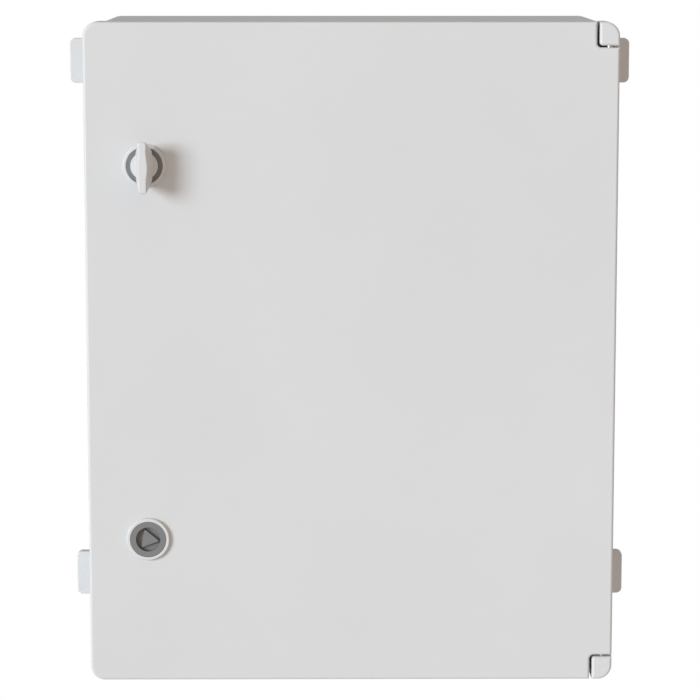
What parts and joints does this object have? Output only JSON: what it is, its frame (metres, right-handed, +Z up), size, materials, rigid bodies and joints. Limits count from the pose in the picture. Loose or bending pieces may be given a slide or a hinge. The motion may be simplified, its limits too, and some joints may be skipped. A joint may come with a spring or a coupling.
{
  "type": "industrial switchboard cabinet",
  "caption": "Wall-mounted light grey plastic switchboard cabinet with a side-hinged door, wing-knob and triangular-key quarter-turn locks, wall lugs and rail-mounted switchgear inside.",
  "frame": {"origin": "centre of the four wall-fixing holes, on the wall plane at the back of the body", "axes": "+Z up, +X to the right seen from the front, +Y into the wall; the door faces -Y"},
  "size_m": [0.454, 0.235, 0.5095],
  "materials": {
    "enclosure_grey": "satin moulded light grey plastic",
    "knob_light_grey": "satin moulded light grey plastic",
    "lock_core_grey": "mid grey glass-filled plastic",
    "gasket_foam": "soft closed-cell foam",
    "nut_dark_grey": "dark grey plastic",
    "zinc_steel": "galvanised sheet steel",
    "screw_steel": "zinc-plated steel",
    "brass": "plain brass",
    "copper": "plain copper",
    "comb_grey": "grey plastic",
    "device_light_grey": "fine-textured light grey plastic",
    "toggle_dark_blue": "smooth dark plastic",
    "toggle_red": "smooth red plastic",
    "button_yellow": "smooth yellow plastic",
    "terminal_grey": "grey polyamide",
    "holder_blue": "blue plastic",
    "holder_green": "green plastic",
    "grommet_rubber": "grey rubber"
  },
  "bodies": {
    "cabinet": {"bar_screws": "screw_steel", "block_screws": "screw_steel", "body_shell": "enclosure_grey", "breaker_1": "device_light_grey", "breaker_2": "device_light_grey", "breaker_3": "device_light_grey", "breaker_4": "device_light_grey", "breaker_5": "device_light_grey", "breaker_6": "device_light_grey", "cable_grommets": "grommet_rubber", "comb_busbar": "copper", "comb_cover": "comb_grey", "din_rail_lower": "zinc_steel", "din_rail_middle": "zinc_steel", "din_rail_upper": "zinc_steel", "earth_bar": "brass", "earth_bar_holders": "holder_green", "earth_leakage_switch": "device_light_grey", "end_stops": "terminal_grey", "hinge_block_lower": "enclosure_grey", "hinge_block_upper": "enclosure_grey", "hinge_pin_lower": "screw_steel", "hinge_pin_upper": "screw_steel", "lug_screws": "screw_steel", "main_switch": "device_light_grey", "mounting_plate": "zinc_steel", "neutral_bar": "brass", "neutral_bar_holders": "holder_blue", "plate_inserts": "brass", "plate_screws": "screw_steel", "rail_screws": "screw_steel", "terminal_row": "terminal_grey", "wall_lug_lower_left": "enclosure_grey", "wall_lug_lower_right": "enclosure_grey", "wall_lug_upper_left": "enclosure_grey", "wall_lug_upper_right": "enclosure_grey"},
    "door": {"door_shell": "enclosure_grey", "door_gasket": "gasket_foam", "upper_lock_housing": "knob_light_grey", "upper_lock_seal": "gasket_foam", "upper_lock_nut": "nut_dark_grey", "lower_lock_housing": "knob_light_grey", "lower_lock_seal": "gasket_foam", "lower_lock_nut": "nut_dark_grey"},
    "upper_lock": {"wing_knob": "knob_light_grey", "upper_lock_core": "lock_core_grey", "upper_lock_cam": "zinc_steel", "upper_cam_screw": "screw_steel"},
    "lower_lock": {"lower_lock_core": "lock_core_grey", "lower_lock_cam": "zinc_steel", "lower_cam_screw": "screw_steel"},
    "main_switch_lever": {"main_switch_toggle": "toggle_red"},
    "earth_leakage_lever": {"earth_leakage_switch_toggle": "toggle_dark_blue"},
    "test_push": {"test_button": "button_yellow"},
    "breaker_1_lever": {"breaker_1_toggle": "toggle_dark_blue"},
    "breaker_2_lever": {"breaker_2_toggle": "toggle_dark_blue"},
    "breaker_3_lever": {"breaker_3_toggle": "toggle_dark_blue"},
    "breaker_4_lever": {"breaker_4_toggle": "toggle_dark_blue"},
    "breaker_5_lever": {"breaker_5_toggle": "toggle_dark_blue"},
    "breaker_6_lever": {"breaker_6_toggle": "toggle_dark_blue"}
  },
  "joints": [
    {"name": "door_hinge", "type": "hinge", "parent": "cabinet", "child": "door", "pos_m": [0.1918, -0.204, 0], "axis": [0, 0, 1], "range_deg": [0, 180]},
    {"name": "upper_lock_turn", "type": "hinge", "parent": "door", "child": "upper_lock", "pos_m": [-0.154, -0.21, 0.14375], "axis": [0, 1, 0], "range_deg": [0, 90]},
    {"name": "lower_lock_turn", "type": "hinge", "parent": "door", "child": "lower_lock", "pos_m": [-0.154, -0.21, -0.13975], "axis": [0, 1, 0], "range_deg": [0, 90]},
    {"name": "main_switch_rock", "type": "hinge", "parent": "cabinet", "child": "main_switch_lever", "pos_m": [-0.0361, -0.0785, 0.133], "axis": [1, 0, 0], "range_deg": [0, 50]},
    {"name": "earth_leakage_rock", "type": "hinge", "parent": "cabinet", "child": "earth_leakage_lever", "pos_m": [0.0269, -0.0785, 0.133], "axis": [1, 0, 0], "range_deg": [0, 50]},
    {"name": "test_button_push", "type": "slide", "parent": "cabinet", "child": "test_push", "axis": [0, 1, 0], "range_m": [0, 0.002], "stiffness_N_per_m": 400},
    {"name": "breaker_1_rock", "type": "hinge", "parent": "cabinet", "child": "breaker_1_lever", "pos_m": [-0.0451, -0.0785, 0.008], "axis": [1, 0, 0], "range_deg": [0, 50]},
    {"name": "breaker_2_rock", "type": "hinge", "parent": "cabinet", "child": "breaker_2_lever", "pos_m": [-0.0271, -0.0785, 0.008], "axis": [1, 0, 0], "range_deg": [0, 50]},
    {"name": "breaker_3_rock", "type": "hinge", "parent": "cabinet", "child": "breaker_3_lever", "pos_m": [-0.0091, -0.0785, 0.008], "axis": [1, 0, 0], "range_deg": [0, 50]},
    {"name": "breaker_4_rock", "type": "hinge", "parent": "cabinet", "child": "breaker_4_lever", "pos_m": [0.0089, -0.0785, 0.008], "axis": [1, 0, 0], "range_deg": [0, 50]},
    {"name": "breaker_5_rock", "type": "hinge", "parent": "cabinet", "child": "breaker_5_lever", "pos_m": [0.0269, -0.0785, 0.008], "axis": [1, 0, 0], "range_deg": [0, 50]},
    {"name": "breaker_6_rock", "type": "hinge", "parent": "cabinet", "child": "breaker_6_lever", "pos_m": [0.0449, -0.0785, 0.008], "axis": [1, 0, 0], "range_deg": [0, 50]}
  ]
}
